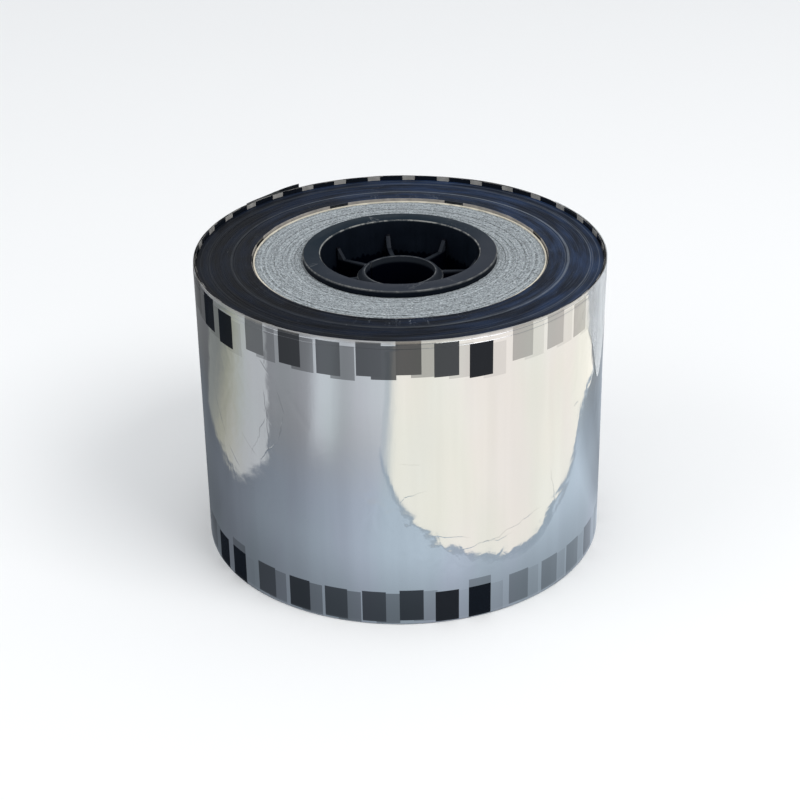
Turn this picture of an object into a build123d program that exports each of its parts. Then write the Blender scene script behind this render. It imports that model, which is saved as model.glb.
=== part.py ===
from build123d import *
import os
from math import cos, radians, sin

# A roll of clear sealing film with printed edges, wound on a thick board core.
# A moulded plug is pushed into each end of the core and carries the machine's shaft.
# Frame: +Z up along the roll's axis, origin at the centre of the face that it stands on, millimetres.

os.makedirs("parts", exist_ok=True)

# Film
film_width = 130.0  # the slit width of the web
film_outer_d = 176.4  # over the last full turn
outer_turns_t = 1.4  # build-up of the last turns, which have slipped along the axis
outer_turns_slip = 2.0  # how far they have slipped up
first_turns_t = 0.5  # build-up of the first turns, on the core
first_turns_slip = 0.3
turn_gap = 0.05  # air between one group of turns and the next
tail_t = 0.2  # the free end, thicker than the real film so that it stays a sound solid
tail_lift = 0.3  # how far the free end stands off the turn below
tail_arc = 20.0  # degrees of the last turn that are free
tail_end_at = 121.5  # plan angle of the cut end
tail_slip = 3.2  # the free end has ridden up further than the turns below

# Core
core_outer_d = 125.0
core_bore_d = 76.4
core_recess = 3.0  # from the standing face to the core's lower end
core_length = 125.8
liner_t = 0.7  # smooth innermost ply
cover_t = 0.3  # thin outermost ply
ply_count = 22
glue_gap = 0.04  # between neighbouring plies
ply_step = 0.2  # how uneven the cut ends of the plies are
ply_scatter = 2.4  # radians, so that the unevenness doesn't repeat from ply to ply
core_film_gap = 0.4  # between the core and the first turn

# Tape that starts the film on the core
tape_t = 0.1
tape_arc = 30.0
tape_margin = 12.0  # from the tape's ends to the edges of the film
tape_seat = 0.05

# Plug
flange_t = 3.0
flange_lap = 3.4  # how far the flange laps over the core's end
flange_edge = 0.5
mouth_chamfer = 0.6
plug_depth = 36.0  # below the flange
sleeve_t = 3.7
sleeve_clearance = 0.5  # from the sleeve to the core's bore, under the flange
sleeve_draft = 0.5
sleeve_lead_in = 1.5  # height of the taper at the sleeve's end
sleeve_lead_in_r = 0.75  # how far it tapers in
crush_rib_count = 12
crush_rib_r = 0.65
crush_rib_clearance = 0.1  # from the ribs' crests to the core's bore
shaft_bore_d = 30.0
hub_depth = 9.4  # from the flange's face to the hub's end
hub_length = 26.0
hub_lip = 1.3  # flat end of the hub, beside the bore
hub_t = 3.6
hub_chamfer_h = 2.4
rib_count = 8
first_rib_at = 9.0
rib_t = 1.8
rib_drop = 1.7  # from the hub's end to the ribs' edge beside it
rib_sag = 0.7  # how far that edge falls on its way out
gusset_run = 4.2  # where the edge turns up to the sleeve
gusset_rise = 5.3
rib_root = 1.0  # how far a rib runs into the hub and the sleeve
key_groove_at = 147.0
key_groove_w = 1.6
key_groove_depth = 0.6

# What follows from them
film_outer_r = film_outer_d / 2
outer_turns_r = film_outer_r - outer_turns_t
core_r = core_outer_d / 2
core_bore_r = core_bore_d / 2
core_top = core_recess + core_length
first_turns_r = core_r + core_film_gap
web_r = first_turns_r + first_turns_t + turn_gap
board_inner_r = core_bore_r + liner_t
board_outer_r = core_r - cover_t - glue_gap
ply_pitch = (board_outer_r - board_inner_r) / ply_count
plug_face = core_top + flange_t
plug_end = core_top - plug_depth
flange_r = core_bore_r + flange_lap
sleeve_r = core_bore_r - sleeve_clearance
mouth_r = sleeve_r - sleeve_t
shaft_r = shaft_bore_d / 2
hub_r = shaft_r + hub_t
hub_top = plug_face - hub_depth
hub_end = hub_top - hub_length


def finish(piece, label):
    """Name one finished piece and write its file."""
    piece.part.label = label
    export_step(piece.part, f"parts/{label}.step")


def ring(label, inner_r, outer_r, bottom, top):
    """A plain tube about the roll's axis, such as a ply or a group of turns."""
    with BuildPart() as tube:
        with BuildSketch(Plane.XY.offset(bottom)):
            Circle(outer_r)
            Circle(inner_r, mode=Mode.SUBTRACT)
        extrude(amount=top - bottom)
    finish(tube, label)


def strip(label, inner_r, thickness, start, arc, bottom, top):
    """A thin strip that lies round part of a turn."""
    with BuildPart() as band:
        with BuildSketch(Plane.XY.offset(bottom)):
            with BuildLine():
                inner = CenterArc((0, 0), inner_r, start, arc)
                outer = CenterArc((0, 0), inner_r + thickness, start, arc)
                Line(inner @ 0, outer @ 0)
                Line(inner @ 1, outer @ 1)
            make_face()
        extrude(amount=top - bottom)
    finish(band, label)


# The core: a smooth liner, the board plies and a thin cover, all cut to one length.
# Each board ply is a little shorter than the liner, by its own amount, as a worn saw leaves it.
ring("core_inner_liner", core_bore_r, board_inner_r - glue_gap, core_recess, core_top)
for ply in range(ply_count):
    inner_r = board_inner_r + ply * ply_pitch
    drop = ply_step * (1 + sin(ply_scatter * (ply + 1))) / 2
    ring(
        f"core_board_ply_{ply + 1:02d}",
        inner_r,
        inner_r + ply_pitch - glue_gap,
        core_recess + drop,
        core_top - drop,
    )
ring("core_cover_ply", core_r - cover_t, core_r, core_recess, core_top)

# The film: its groups of turns, the tape under the first one and the free end over the last.
ring(
    "film_first_turns",
    first_turns_r,
    first_turns_r + first_turns_t,
    first_turns_slip,
    film_width + first_turns_slip,
)
ring("film_wound_web", web_r, outer_turns_r - turn_gap, 0, film_width)
ring(
    "film_outer_turns",
    outer_turns_r,
    film_outer_r,
    outer_turns_slip,
    film_width + outer_turns_slip,
)
strip(
    "film_start_tape",
    core_r + tape_seat,
    tape_t,
    0,
    tape_arc,
    tape_margin,
    film_width - tape_margin,
)
strip(
    "film_tail",
    film_outer_r + tail_lift,
    tail_t,
    tail_end_at,
    tail_arc,
    tail_slip,
    film_width + tail_slip,
)

# The plug, in the top end of the core: one moulding of flange, sleeve, ribs and hub.
with BuildPart() as upper_core_plug:
    # Flange and drafted sleeve, turned about the axis
    with BuildSketch(Plane.XZ):
        with BuildLine():
            Polyline(
                (mouth_r, plug_face - mouth_chamfer),
                (mouth_r + mouth_chamfer, plug_face),
                (flange_r - flange_edge, plug_face),
                (flange_r, plug_face - flange_edge),
                (flange_r, core_top),
                (sleeve_r, core_top),
                (sleeve_r - sleeve_draft, plug_end + sleeve_lead_in),
                (sleeve_r - sleeve_draft - sleeve_lead_in_r, plug_end),
                (mouth_r - sleeve_draft, plug_end),
                close=True,
            )
        make_face()
    revolve(axis=Axis.Z)
    # Hub, with a flat lip round the bore and a chamfer down to its wall
    with BuildSketch(Plane.XZ):
        with BuildLine():
            Polyline(
                (shaft_r, hub_top),
                (shaft_r + hub_lip, hub_top),
                (hub_r, hub_top - hub_chamfer_h),
                (hub_r, hub_end),
                (shaft_r, hub_end),
                close=True,
            )
        make_face()
    revolve(axis=Axis.Z)
    # Ribs from the hub to the sleeve, each with a gusset up the sleeve
    for rib in range(rib_count):
        turn = radians(first_rib_at + rib * 360 / rib_count)
        rib_plane = Plane(
            origin=(0, 0, 0),
            x_dir=(cos(turn), sin(turn), 0),
            z_dir=(sin(turn), -cos(turn), 0),
        )
        with BuildSketch(rib_plane):
            with BuildLine():
                Polyline(
                    (hub_r - rib_root, hub_top - rib_drop - rib_root),
                    (hub_r, hub_top - rib_drop),
                    (mouth_r - gusset_run, hub_top - rib_drop - rib_sag),
                    (mouth_r - sleeve_draft, hub_top - rib_drop - rib_sag + gusset_rise),
                    (mouth_r + rib_root, hub_top - rib_drop),
                    (mouth_r + rib_root, hub_end),
                    (hub_r - rib_root, hub_end),
                    close=True,
                )
            make_face()
        extrude(amount=rib_t / 2, both=True)
    # Half-round crush ribs that grip the core's bore
    with BuildSketch(Plane.XY.offset(plug_end + sleeve_lead_in)):
        with PolarLocations(core_bore_r - crush_rib_clearance - crush_rib_r, crush_rib_count):
            Circle(crush_rib_r)
    extrude(amount=plug_depth - sleeve_lead_in)
    # Shallow groove along the bore
    with BuildSketch(Plane.XY.offset(hub_end)):
        with PolarLocations(shaft_r, 1, start_angle=key_groove_at):
            Rectangle(2 * key_groove_depth, key_groove_w)
    extrude(amount=hub_length, mode=Mode.SUBTRACT)
finish(upper_core_plug, "upper_core_plug")

# The same moulding turned over, in the bottom end of the core.
with BuildPart() as lower_core_plug:
    with Locations((0, 0, core_recess + core_top)):
        add(upper_core_plug.part, rotation=(180, 0, 0))
finish(lower_core_plug, "lower_core_plug")
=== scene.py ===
from functools import cache
from math import atan2, cos, degrees, exp, hypot, pi, radians, sin
from random import Random

import bmesh
import bpy
from bpy.props import FloatProperty, FloatVectorProperty, IntProperty, PointerProperty
from mathutils import Matrix, Vector, noise


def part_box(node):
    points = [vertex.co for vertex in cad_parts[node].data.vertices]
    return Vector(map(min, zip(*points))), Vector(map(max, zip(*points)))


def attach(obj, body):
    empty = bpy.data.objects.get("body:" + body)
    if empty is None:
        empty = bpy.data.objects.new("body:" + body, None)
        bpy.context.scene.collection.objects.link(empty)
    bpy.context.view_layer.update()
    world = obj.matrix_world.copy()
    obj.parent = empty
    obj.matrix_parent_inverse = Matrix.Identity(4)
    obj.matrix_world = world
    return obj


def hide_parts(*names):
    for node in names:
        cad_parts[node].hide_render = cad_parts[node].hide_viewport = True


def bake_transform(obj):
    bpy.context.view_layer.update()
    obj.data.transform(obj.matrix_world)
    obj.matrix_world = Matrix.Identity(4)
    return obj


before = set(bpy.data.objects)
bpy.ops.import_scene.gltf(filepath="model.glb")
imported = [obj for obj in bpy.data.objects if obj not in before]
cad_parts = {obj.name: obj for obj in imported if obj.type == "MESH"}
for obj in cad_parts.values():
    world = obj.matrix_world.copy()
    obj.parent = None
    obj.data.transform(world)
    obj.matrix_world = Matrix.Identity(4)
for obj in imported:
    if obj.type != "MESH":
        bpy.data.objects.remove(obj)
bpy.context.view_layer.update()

bl_info = {
    "name": "Sealing Film Roll",
    "version": (1, 0, 0),
    "blender": (4, 5, 0),
    "location": "3D View > Sidebar > Film Roll",
    "description": "Builds a roll of clear sealing film on a board core with two moulded plugs",
    "category": "Object",
}

MM = 0.001


def ring_span(node):
    """(outer radius, lowest, highest) of a round CAD node."""
    low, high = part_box(node)
    return high.x, low.z, high.z


FILM_R, _, FILM_HIGH = ring_span("film_outer_turns")
WEB_R, WEB_LOW, WEB_HIGH = ring_span("film_wound_web")
FIRST_R, FIRST_LOW, FIRST_HIGH = ring_span("film_first_turns")
CORE_R, CORE_LOW, CORE_HIGH = ring_span("core_cover_ply")
LINER_R, _, _ = ring_span("core_inner_liner")
FLANGE_R, _, PLUG_FACE = ring_span("upper_core_plug")
_, _, TAIL_HIGH = ring_span("film_tail")
DEGREE_OF_WALL = FILM_R * pi / 180
GLUE = 0.04 * MM
COVER_SEED = 40
MOUTH_R = 34.0 * MM
SHAFT_R = 15.0 * MM
HUB_R = 18.6 * MM
PLIES = sorted(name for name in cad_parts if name.startswith("core_board_ply"))


# ---------------------------------------------------------------- settings


def length_setting(**about):
    """A size in metres."""
    return FloatProperty(unit="LENGTH", subtype="DISTANCE", **about)


def colour_setting(**about):
    """A base colour."""
    return FloatVectorProperty(subtype="COLOR", size=3, min=0, max=1, **about)


class RollSizes(bpy.types.PropertyGroup):
    """Sizes that a user may change. Lengths are in metres."""

    wall_segments: IntProperty(
        name="Wall segments", default=540,
        description="Faces round the outside of the film",
    )
    end_segments: IntProperty(
        name="End segments", default=224,
        description="Faces round the wound end faces, the core and the plugs",
    )
    mark_pitch: FloatProperty(
        name="Mark pitch", default=74.8,
        description="Degrees of the outer turn from one register mark to the next",
    )
    mark_width: FloatProperty(
        name="Mark width", default=6.5,
        description="Degrees of the outer turn that a register mark covers",
    )
    ghost_shift: FloatProperty(
        name="Deep mark shift", default=3.8,
        description="Degrees by which the faint marks of the deep turns lie beside the clear ones",
    )
    mark_height: length_setting(
        name="Mark height", default=14.8 * MM,
        description="Height of a register mark along the roll's axis",
    )
    first_mark_at: FloatProperty(
        name="First mark", default=-72.4,
        description="Plan angle of the left edge of the outermost turn's front mark, in degrees",
    )
    mark_shift: FloatProperty(
        name="Mark shift", default=9.3,
        description="Degrees by which each deeper turn's marks lie further round",
    )
    mark_shift_growth: FloatProperty(
        name="Mark shift growth", default=0.45,
        description="How many degrees more each further turn adds to that shift",
    )
    inner_mark_at: FloatProperty(
        name="First turns' mark", default=62.6,
        description="Plan angle of a mark on the first turns, in degrees",
    )
    inner_mark_pitch: FloatProperty(
        name="First turns' mark pitch", default=49.1,
        description="Degrees from one mark to the next on the first turns",
    )
    relief_depth: length_setting(
        name="Relief depth", default=0.5 * MM,
        description="How far the deepest dents and creases lie under the film's outer radius",
    )
    film_end_at: FloatProperty(
        name="Free end", default=121.5,
        description="Plan angle of the film's cut end, in degrees",
    )
    film_end_arc: FloatProperty(
        name="Free arc", default=20.0,
        description="Degrees of the last turn that lift off",
    )


class RollColours(bpy.types.PropertyGroup):
    """Base colours that a user may change."""

    film: colour_setting(
        name="Film", default=(0.43, 0.452, 0.475),
        description="Silvery tint of many clear turns on each other",
    )
    wound_edges: colour_setting(
        name="Wound edges", default=(0.003, 0.0065, 0.016),
        description="The winding's end faces",
    )
    board: colour_setting(
        name="Board", default=(0.285, 0.312, 0.328),
        description="Grey core board",
    )
    cover: colour_setting(
        name="Cover", default=(0.66, 0.61, 0.50),
        description="Cream paper round the core",
    )
    plug: colour_setting(
        name="Plug", default=(0.004, 0.006, 0.010),
        description="Black moulded plastic",
    )
    floor: colour_setting(
        name="Floor", default=(0.90, 0.90, 0.90),
        description="Plain pale floor",
    )


# ---------------------------------------------------------------- mesh helpers


def turned(profile, segments, sweep=360.0, start=0.0):
    """A bmesh of a closed profile of (radius, height) points, spun about the roll's axis."""
    bm = bmesh.new()
    turn = Matrix.Rotation(radians(start), 3, "Z")
    corners = [bm.verts.new(turn @ Vector((r, 0, z))) for r, z in profile]
    edges = [bm.edges.new((a, b)) for a, b in zip(corners, corners[1:] + corners[:1])]
    whole = sweep >= 360.0
    ends = [] if whole else [bm.faces.new(corners)]
    made = bmesh.ops.spin(
        bm,
        geom=corners + edges + ends,
        cent=(0, 0, 0),
        axis=(0, 0, 1),
        angle=radians(sweep),
        steps=segments,
        use_merge=whole,
    )
    if not whole and not any(isinstance(item, bmesh.types.BMFace) for item in made["geom_last"]):
        last = [item for item in made["geom_last"] if isinstance(item, bmesh.types.BMVert)]
        bmesh.ops.contextual_create(bm, geom=last)
    bmesh.ops.remove_doubles(bm, verts=bm.verts, dist=0.002 * MM)
    bmesh.ops.recalc_face_normals(bm, faces=bm.faces)
    return bm


def shape(bm, move):
    """Moves every vertex: move takes its degrees, radius and height and gives the new last two."""
    for vert in bm.verts:
        x, y, z = vert.co
        angle, radius = atan2(y, x), hypot(x, y)
        radius, z = move(degrees(angle), radius, z)
        vert.co = (radius * cos(angle), radius * sin(angle), z)


def placed(name, bm, material):
    """An object in the scene with the bmesh as its mesh."""
    if not bm.faces:
        raise RuntimeError(f"{name} has no faces")
    mesh = bpy.data.meshes.new(name)
    bm.to_mesh(mesh)
    bm.free()
    mesh.materials.append(material)
    obj = bpy.data.objects.new(name, mesh)
    bpy.context.scene.collection.objects.link(obj)
    return obj


def piece(name, bm, material, body, replaced=(), sharp=35.0):
    """Makes the finished mesh an object that rides on its body and stands for its CAD nodes."""
    obj = placed(name, bm, material)
    obj.data.shade_smooth()
    obj.data.set_sharp_from_angle(angle=radians(sharp))
    if body:
        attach(obj, body)
    if replaced:
        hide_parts(*replaced)
    return obj


def repaint(node, material):
    """Gives a CAD node that keeps its own mesh a detailed material."""
    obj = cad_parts[node]
    obj.data.materials.clear()
    obj.data.materials.append(material)


def steps(low, high, count):
    """Evenly spaced values from low to high, both included."""
    return [low + (high - low) * i / (count - 1) for i in range(count)]


def fade(value, low, high):
    """0 under low, 1 over high and a smooth rise between them."""
    t = min(max((value - low) / (high - low), 0.0), 1.0)
    return t * t * (3 - 2 * t)


def window(value, low, high, soft):
    """1 between low and high, and 0 outside them, with soft shoulders."""
    return fade(value, low - soft, low) * (1 - fade(value, high, high + soft))


# ---------------------------------------------------------------- shader helpers


class Wire:
    """A value in a node tree: sums, products and comparisons of wires place their own nodes."""

    def __init__(self, graph, socket):
        self.graph, self.socket = graph, socket

    def __add__(self, other):
        return self.graph.math("ADD", self, other)

    def __sub__(self, other):
        return self.graph.math("SUBTRACT", self, other)

    def __rsub__(self, other):
        return self.graph.math("SUBTRACT", other, self)

    def __mul__(self, other):
        return self.graph.math("MULTIPLY", self, other)

    def __truediv__(self, other):
        return self.graph.math("DIVIDE", self, other)

    def __lt__(self, other):
        return self.graph.math("LESS_THAN", self, other)

    def __gt__(self, other):
        return self.graph.math("GREATER_THAN", self, other)

    def __abs__(self):
        return self.graph.math("ABSOLUTE", self)


class Graph:
    """Places nodes in the tree of a material or a group, and joins them."""

    def __init__(self, tree):
        self.nodes, self.links = tree.nodes, tree.links

    def add(self, kind, **settings):
        node = self.nodes.new("ShaderNode" + kind)
        for name, value in settings.items():
            setattr(node, name, value)
        return node

    def feed(self, socket, value):
        if isinstance(value, Wire):
            self.links.new(value.socket, socket)
        elif socket.type == "RGBA":
            socket.default_value = (*value, 1.0)
        else:
            socket.default_value = value

    def made(self, kind, inputs, output=0, **settings):
        """Adds a node, feeds its inputs by name or number, and gives the wire that leaves it."""
        node = self.add(kind, **settings)
        for label, value in inputs.items():
            self.feed(node.inputs[label], value)
        return Wire(self, node.outputs[output])

    def math(self, operation, *values, clamp=False):
        return self.made("Math", dict(enumerate(values)), operation=operation, use_clamp=clamp)

    def vmath(self, operation, *values, output="Vector"):
        return self.made("VectorMath", dict(enumerate(values)), output, operation=operation)

    def scaled(self, vector, factor):
        return self.made("VectorMath", {0: vector, "Scale": factor}, "Vector", operation="SCALE")

    def mix(self, factor, a, b):
        return self.made("Mix", {0: factor, 6: a, 7: b}, 2, data_type="RGBA")

    def blend(self, factor, a, b):
        return self.made("Mix", {0: factor, 2: a, 3: b}, 0, data_type="FLOAT")

    def rise(self, value, low, high):
        """0 at low and 1 at high, smoothly."""
        limits = {"Value": value, "From Min": low, "From Max": high}
        return self.made("MapRange", limits, "Result", interpolation_type="SMOOTHSTEP")

    def fall(self, value, low, high):
        """1 at low and 0 at high, smoothly."""
        return 1.0 - self.rise(value, low, high)

    def window(self, value, low, high, soft):
        """1 between low and high, and 0 outside them, with soft shoulders."""
        return self.rise(value, low - soft, low) * self.rise(value, high + soft, high)

    def vector(self, x, y, z):
        return self.made("CombineXYZ", {0: x, 1: y, 2: z})

    def split(self, vector):
        node = self.add("SeparateXYZ")
        self.feed(node.inputs[0], vector)
        return [Wire(self, socket) for socket in node.outputs]

    def stretched(self, vector, scale):
        return self.made("Mapping", {"Vector": vector, "Scale": scale})

    def noise(self, at, scale, detail=3.0, roughness=0.5, distortion=0.0, output="Fac", dimensions="3D"):
        inputs = {
            "W" if dimensions == "1D" else "Vector": at,
            "Scale": scale,
            "Detail": detail,
            "Roughness": roughness,
            "Distortion": distortion,
        }
        return self.made("TexNoise", inputs, output, noise_dimensions=dimensions)

    def bump(self, height, distance):
        return self.made("Bump", {"Height": height, "Distance": distance, "Strength": 1.0}, "Normal")

    def ramp(self, value, stops):
        """Colour by position: stops are (position, colour) pairs from 0 to 1."""
        node = self.add("ValToRGB")
        self.feed(node.inputs["Fac"], value)
        elements = node.color_ramp.elements
        while len(elements) < len(stops):
            elements.new(0.5)
        for element, (position, colour) in zip(elements, stops):
            element.position = position
            element.color = (*colour, 1.0)
        return Wire(self, node.outputs["Color"])

    def group(self, tree, **values):
        """Places a shader group, feeds it by its inputs' names and gives its outputs by name."""
        node = self.add("Group", node_tree=tree)
        for name, value in values.items():
            self.feed(node.inputs[name.replace("_", " ")], value)
        return {socket.name: Wire(self, socket) for socket in node.outputs}


class Finish(Graph):
    """A material in the making, with the place on the object that its patterns read."""

    def __init__(self, name):
        self.material = bpy.data.materials.new(name)
        self.material.use_nodes = True
        self.material.node_tree.nodes.clear()
        super().__init__(self.material.node_tree)
        self.place = self.made("TexCoord", {}, "Object")

    def polar(self, cut_at=180.0):
        """The angle, radius and height on the roll, with the angle counted from the cut."""
        return self.group(round_the_roll(), Place=self.place, Cut_At=cut_at)

    def tall(self, share):
        """The place with heights shortened, so that a pattern on it is drawn out upwards."""
        return self.stretched(self.place, (1.0, 1.0, share))

    def output(self, socket):
        self.links.new(socket, self.add("OutputMaterial").inputs[0])
        return self.material

    def surface(self, **values):
        """The finished material: each value goes to the Principled shader's socket of that name."""
        shader = self.add("BsdfPrincipled")
        for name, value in values.items():
            self.feed(shader.inputs[name.replace("_", " ")], value)
        return self.output(shader.outputs[0])


VECTORS = ("Place", "Around", "Start", "Run")


def new_group(name, inputs, outputs):
    """An empty shader group, its graph, the wires that come in and the sockets that go out."""
    tree = bpy.data.node_groups.new(name, "ShaderNodeTree")
    for labels, way in ((inputs, "INPUT"), (outputs, "OUTPUT")):
        for label in labels:
            kind = "NodeSocketVector" if label in VECTORS else "NodeSocketFloat"
            tree.interface.new_socket(label, in_out=way, socket_type=kind)
    graph = Graph(tree)
    entry = tree.nodes.new("NodeGroupInput")
    result = tree.nodes.new("NodeGroupOutput")
    return tree, graph, [Wire(graph, entry.outputs[label]) for label in inputs], result.inputs


@cache
def round_the_roll():
    """Group: plan angle in degrees counted from the film's cut end, radius and height of a point."""
    tree, graph, (place, cut_at), result = new_group(
        "Round The Roll", ("Place", "Cut At"), ("Angle", "Radius", "Height", "Around")
    )
    x, y, z = graph.split(place)
    angle = graph.math("ARCTAN2", y, x) * (180 / pi)
    radius = graph.math("SQRT", x * x + y * y)
    graph.feed(result["Angle"], (angle > cut_at) * -360.0 + angle)
    graph.feed(result["Radius"], radius)
    graph.feed(result["Height"], z)
    graph.feed(result["Around"], graph.vector(x / radius, y / radius, radius))
    return tree


@cache
def register_marks():
    """Group: 1 on one turn's printed marks, a row under the top edge and a row over the bottom edge."""
    labels = ("Angle", "Height", "Left Edge", "Pitch", "Width", "Tall", "Top", "Foot")
    tree, graph, wires, result = new_group("Register Marks", labels, ("Mask",))
    angle, height, left, pitch, width, tall, top, foot = wires
    here = graph.math("FRACT", (angle - left) / pitch) * pitch
    half = tall * 0.5
    upper = abs(height - (top - half)) < half
    lower = abs(height - (foot + half)) < half
    graph.feed(result["Mask"], (here < width) * graph.math("ADD", upper, lower, clamp=True))
    return tree


@cache
def crease_line():
    """Group: a soft ridge along a straight line on the wall, from one angle and height to another."""
    labels = ("Angle", "Height", "Start", "Run", "Width")
    tree, graph, wires, result = new_group("Crease Line", labels, ("Ridge",))
    angle, height, start, run, width = wires
    here = graph.vector(angle * DEGREE_OF_WALL, height, 0.0)
    offset = graph.vmath("SUBTRACT", here, start)
    along = graph.vmath("DOT_PRODUCT", offset, run, output="Value")
    reach = graph.math("DIVIDE", along, graph.vmath("DOT_PRODUCT", run, run, output="Value"), clamp=True)
    aside = graph.vmath("SUBTRACT", offset, graph.scaled(run, reach))
    ridge = graph.fall(graph.vmath("LENGTH", aside, output="Value"), 0.0, width)
    taper = graph.rise(reach, 0.0, 0.25) * graph.fall(reach, 0.7, 1.0)
    graph.feed(result["Ridge"], ridge * taper)
    return tree


@cache
def scuff_marks():
    """Group: thin broken scratches, more of them as Amount rises."""
    tree, graph, (place, scale, amount), result = new_group(
        "Scuff Marks", ("Place", "Scale", "Amount"), ("Mask",)
    )
    lines = graph.noise(place, scale, detail=4.0, distortion=0.6)
    patches = graph.noise(place, scale * 0.37, detail=2.0)
    edge = 1.0 - amount
    thin = graph.fall(abs(lines - 0.5), 0.0, 0.012)
    graph.feed(result["Mask"], thin * graph.rise(patches, edge, edge + 0.12))
    return tree


def dyed(colour, *factors):
    """A colour made paler or darker, by one factor or by one for each of red, green and blue."""
    factors = factors if len(factors) == 3 else factors * 3
    return tuple(min(c * factor, 1.0) for c, factor in zip(colour, factors))


# ---------------------------------------------------------------- materials


# One value for each of the outer turns that show their marks, from the outermost in. Heights are in mm.
MARK_TOPS = (128.2, 130.3, 132.0, 131.2, 130.2, 131.2, 131.6)
MARK_FEET = (0.5, 0.6, 2.1, 1.2, 1.0, 1.2, 1.6)
# How far the film shows through the marks at the top and at the foot, and how much more at the right, as
# painted light.
MARK_CLEARNESS = (0.018, 0.09, 0.11, 0.16, 0.19, 0.12, 0.26)
FOOT_CLEARNESS = (0.0, 0.02, 0.10, 0.15, 0.17, 0.11, 0.24)
MARK_FADING = (0.26, 0.24, 0.22, 0.20, 0.36, 0.44, 0.28)
# The same for the faint marks of the turns still deeper, which lie beside the clear ones.
GHOST_CLEARNESS = (0.86, 0.76, 0.52, 0.17, 0.45, 0.50, 0.62)
FOOT_GHOST_CLEARNESS = (0.95, 0.93, 0.70, 0.45, 0.48, 0.50, 0.62)
# How far the faint marks show the film past the front, as painted light on the right side.
GHOST_PAST_FRONT = 0.86
GHOST_DROP_TOP, GHOST_DROP_FOOT = 1.3 * MM, 0.6 * MM
STRAY_MARK_FOOT = 4.4 * MM
INK = (0.004, 0.006, 0.010)

# Single creases: from degrees, from height in mm, to degrees, to height in mm, strength.
FINE_CREASES = (
    (-71.5, 33.5, -47.0, 45.5, 1.0),
    (-75.5, 35.0, -57.5, 36.5, 0.8),
    (-83.0, 43.0, -71.5, 40.5, 0.8),
    (-91.5, 60.0, -83.0, 64.5, 0.7),
    (-91.5, 77.5, -85.0, 76.5, 0.6),
    (-46.5, 62.5, -43.5, 40.0, 1.0),
    (-132.5, 67.5, -125.0, 79.5, 1.2),
    (-125.0, 79.5, -122.3, 92.5, 1.2),
    (-122.3, 92.5, -124.6, 104.0, 1.0),
    (-130.5, 115.5, -126.5, 108.0, 1.3),
    (-129.5, 104.0, -128.5, 78.0, 0.9),
    (-132.5, 67.5, -139.5, 76.5, 0.9),
    (-136.0, 66.5, -128.6, 92.0, 1.0),
    (-153.0, 86.0, -146.0, 66.0, 1.0),
    (-146.0, 66.0, -140.5, 57.5, 1.0),
    (-154.5, 94.0, -148.5, 72.0, 0.8),
    (-36.5, 83.0, -33.5, 84.5, 0.9),
)


def film_tint(graph, colour):
    """The silvery colour of film on film, in tall soft streaks."""
    streak = graph.noise(graph.tall(0.05), 95.0)
    cloud = graph.noise(graph.place, 14.0, detail=2.0)
    streak = graph.rise(cloud * 0.5 + streak, 0.55, 0.95)
    tone = graph.mix(streak, dyed(colour, 0.93), dyed(colour, 1.06))
    sheen = graph.rise(graph.noise(graph.tall(0.25), 38.0, detail=2.0), 0.35, 0.65)
    tinge = graph.mix(sheen, dyed(colour, 1.05, 0.985, 1.0), dyed(colour, 0.97, 1.01, 0.955))
    return graph.mix(0.5, tone, tinge)


def mark_mask(graph, polar, left, pitch, width, tall, top, foot):
    """1 on the printed marks of one turn."""
    return graph.group(
        register_marks(),
        Angle=polar["Angle"],
        Height=polar["Height"],
        Left_Edge=left,
        Pitch=pitch,
        Width=width,
        Tall=tall,
        Top=top,
        Foot=foot,
    )["Mask"]


def printed_marks(graph, polar, film, sizes, turns, turn_offset, lifted):
    """Film colour under the marks of the outer turns, deepest first, with painted light and shade by side,
    and a mask of the blackest ones.
    """
    angle = polar["Angle"]
    low_down = polar["Height"] < 60.0 * MM
    in_front = angle < 60.0
    # Painted light makes the marks paler past the front and at the right; painted shade makes the two
    # outer turns' marks fully black at the left.
    painted_light_past_front = graph.rise(angle, -72.0, -61.0) * in_front
    painted_light_at_right = graph.rise(angle, -40.0, -30.0) * in_front
    painted_shade_at_left = graph.rise(angle, -118.0, -128.0)
    first = sizes.first_mark_at + turn_offset

    def marks(left, top, foot):
        pitch, width, tall = sizes.mark_pitch, sizes.mark_width, sizes.mark_height
        return mark_mask(graph, polar, left, pitch, width, tall, top, foot)

    def left_edge(turn):
        return first - turn * sizes.mark_shift - sizes.mark_shift_growth * turn * (turn - 1) / 2

    tone = film
    for turn in reversed(turns):
        clear = graph.blend(low_down, GHOST_CLEARNESS[turn], FOOT_GHOST_CLEARNESS[turn])
        clear = graph.blend(painted_light_past_front, clear, GHOST_PAST_FRONT)
        top, foot = MARK_TOPS[turn] * MM - GHOST_DROP_TOP, MARK_FEET[turn] * MM - GHOST_DROP_FOOT
        ghost = marks(left_edge(turn) + sizes.ghost_shift, top, foot)
        tone = graph.mix(ghost, tone, graph.mix(clear, INK, tone))
    stray = marks(first, -1.0, STRAY_MARK_FOOT)
    tone = graph.mix(stray * 0.45, tone, INK)
    blackest = 0.0
    for turn in reversed(turns):
        clear = graph.blend(low_down, MARK_CLEARNESS[turn], FOOT_CLEARNESS[turn])
        # Painted shade: at the left these marks are made fully black.
        if turn < 2:
            clear = graph.blend(painted_shade_at_left, clear, 0.0)
        clear = (painted_light_past_front if turn > 3 else painted_light_at_right) * MARK_FADING[turn] + clear
        mask = marks(left_edge(turn), MARK_TOPS[turn] * MM + lifted, MARK_FEET[turn] * MM)
        tone = graph.mix(mask, tone, graph.mix(clear, INK, film))
        if turn < 2:
            solid = graph.math("SUBTRACT", 1.0, clear * 3.0, clamp=True)
            blackest = graph.math("MAXIMUM", blackest, mask * solid)
    return tone, blackest


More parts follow.
